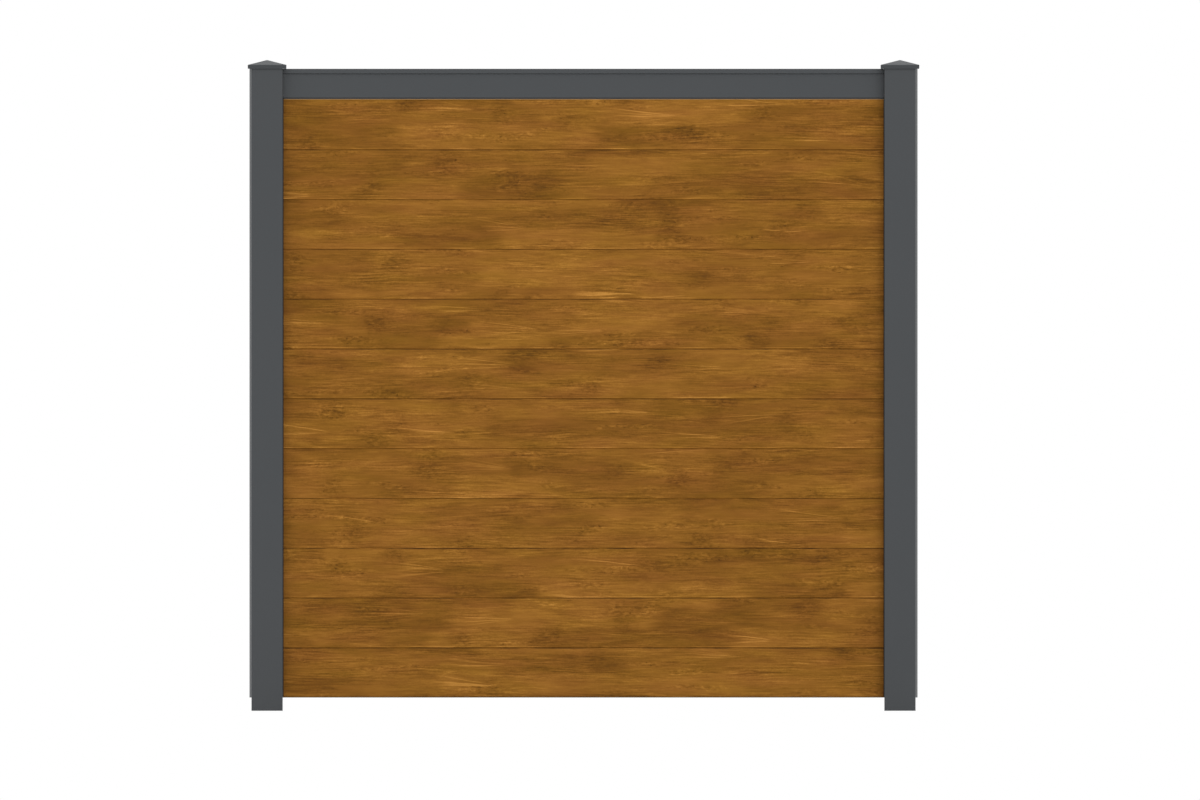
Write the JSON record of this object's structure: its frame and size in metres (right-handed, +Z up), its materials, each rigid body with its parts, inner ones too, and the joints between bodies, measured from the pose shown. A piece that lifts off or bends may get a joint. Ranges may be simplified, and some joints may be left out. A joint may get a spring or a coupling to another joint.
{
  "type": "aluminium fence panel",
  "caption": "Privacy fence panel of interlocking wood-effect aluminium boards between two slotted grey posts with pyramid caps and a lipped top rail.",
  "frame": {"origin": "on the ground midway between the two posts, in the middle of their depth", "axes": "+X along the fence to the right as seen from the front, +Y from front to back, +Z up"},
  "size_m": [2.023, 0.104, 1.9597],
  "materials": {
    "coated_grey": "satin",
    "wood_effect": "matte",
    "seal_rubber": "matte",
    "moulded_black": "matte",
    "zinc_steel": "satin"
  },
  "bodies": {
    "root": {"post_left": "coated_grey", "post_right": "coated_grey", "top_rail": "coated_grey", "slot_cover_left": "coated_grey", "slot_cover_right": "coated_grey", "cap_left": "coated_grey", "cap_right": "coated_grey", "board_01": "wood_effect", "board_02": "wood_effect", "board_03": "wood_effect", "board_04": "wood_effect", "board_05": "wood_effect", "board_06": "wood_effect", "board_07": "wood_effect", "board_08": "wood_effect", "board_09": "wood_effect", "board_10": "wood_effect", "board_11": "wood_effect", "board_12": "wood_effect", "seal_left_front": "seal_rubber", "seal_left_back": "seal_rubber", "seal_right_front": "seal_rubber", "seal_right_back": "seal_rubber", "rail_plug_left": "moulded_black", "rail_plug_right": "moulded_black", "board_rest_left": "moulded_black", "board_rest_right": "moulded_black", "rest_screws": "zinc_steel"}
  },
  "joints": []
}
